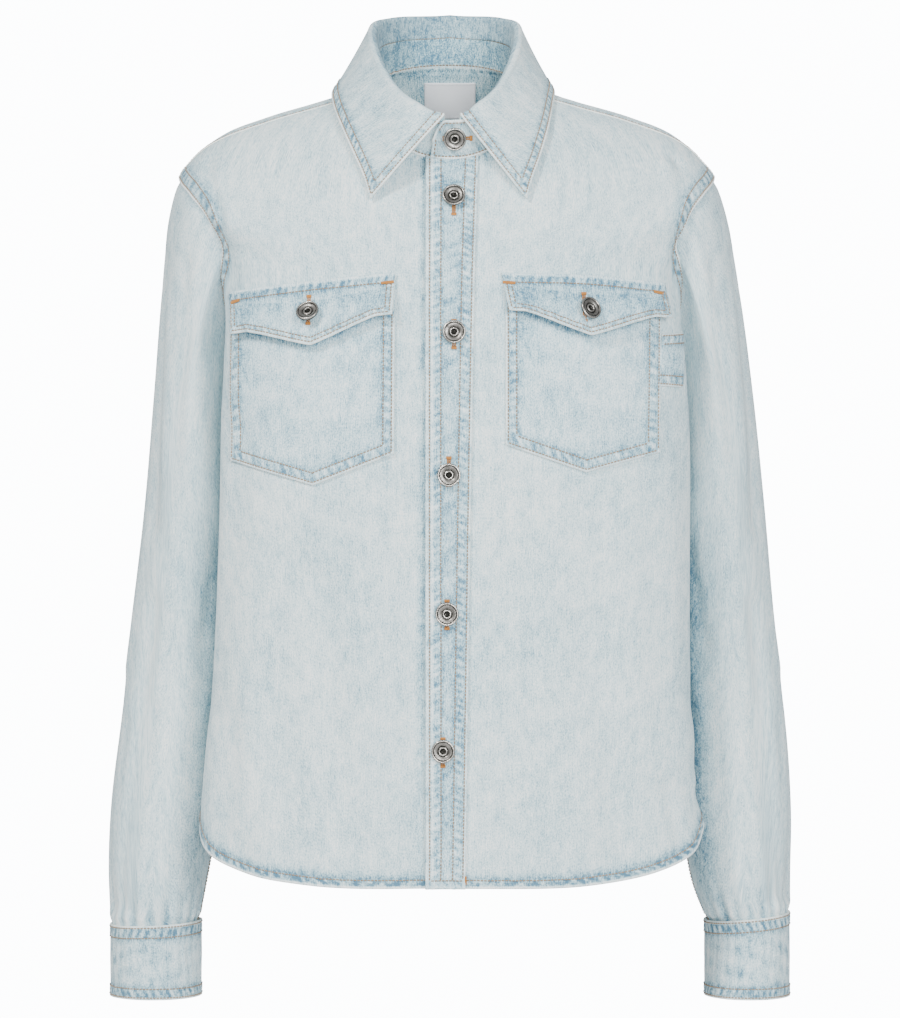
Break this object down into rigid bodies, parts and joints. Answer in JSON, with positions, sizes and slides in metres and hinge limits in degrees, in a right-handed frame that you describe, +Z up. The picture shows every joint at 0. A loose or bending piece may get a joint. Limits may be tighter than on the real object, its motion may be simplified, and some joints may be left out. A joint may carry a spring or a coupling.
{
  "type": "denim shirt",
  "caption": "Long-sleeved denim shirt, buttoned up and filled out as worn, with a pointed collar, flapped breast pockets, a loop tab and a curved hem.",
  "frame": {"origin": "centre of the neck's base, at the height where the shoulders meet the neck", "axes": "+X to the wearer's left, -Y to the front, +Z up towards the collar"},
  "size_m": [0.5275, 0.2357, 0.7625],
  "materials": {
    "washed_denim": "washed pale blue twill with worn edges",
    "blue_denim": "washed pale blue twill, bluer beside the seams",
    "label_tape": "plain white woven tape",
    "old_silver": "antiqued silver"
  },
  "bodies": {
    "root": {"front_right": "washed_denim", "front_left": "washed_denim", "back": "washed_denim", "yoke": "washed_denim", "sleeve_right": "washed_denim", "sleeve_left": "washed_denim", "cuff_right": "washed_denim", "cuff_left": "washed_denim", "sleeve_placket_right": "washed_denim", "sleeve_placket_left": "washed_denim", "collar_stand": "washed_denim", "collar_leaf": "washed_denim", "pocket_right": "blue_denim", "pocket_left": "blue_denim", "flap_right": "blue_denim", "flap_left": "blue_denim", "placket_band": "blue_denim", "loop_tab": "blue_denim", "neck_label": "label_tape", "button_placket_1": "old_silver", "button_placket_2": "old_silver", "button_placket_3": "old_silver", "button_placket_4": "old_silver", "button_placket_5": "old_silver", "button_flap_right": "old_silver", "button_flap_left": "old_silver", "button_collar": "old_silver", "button_cuff_right": "old_silver", "button_cuff_left": "old_silver"}
  },
  "joints": []
}
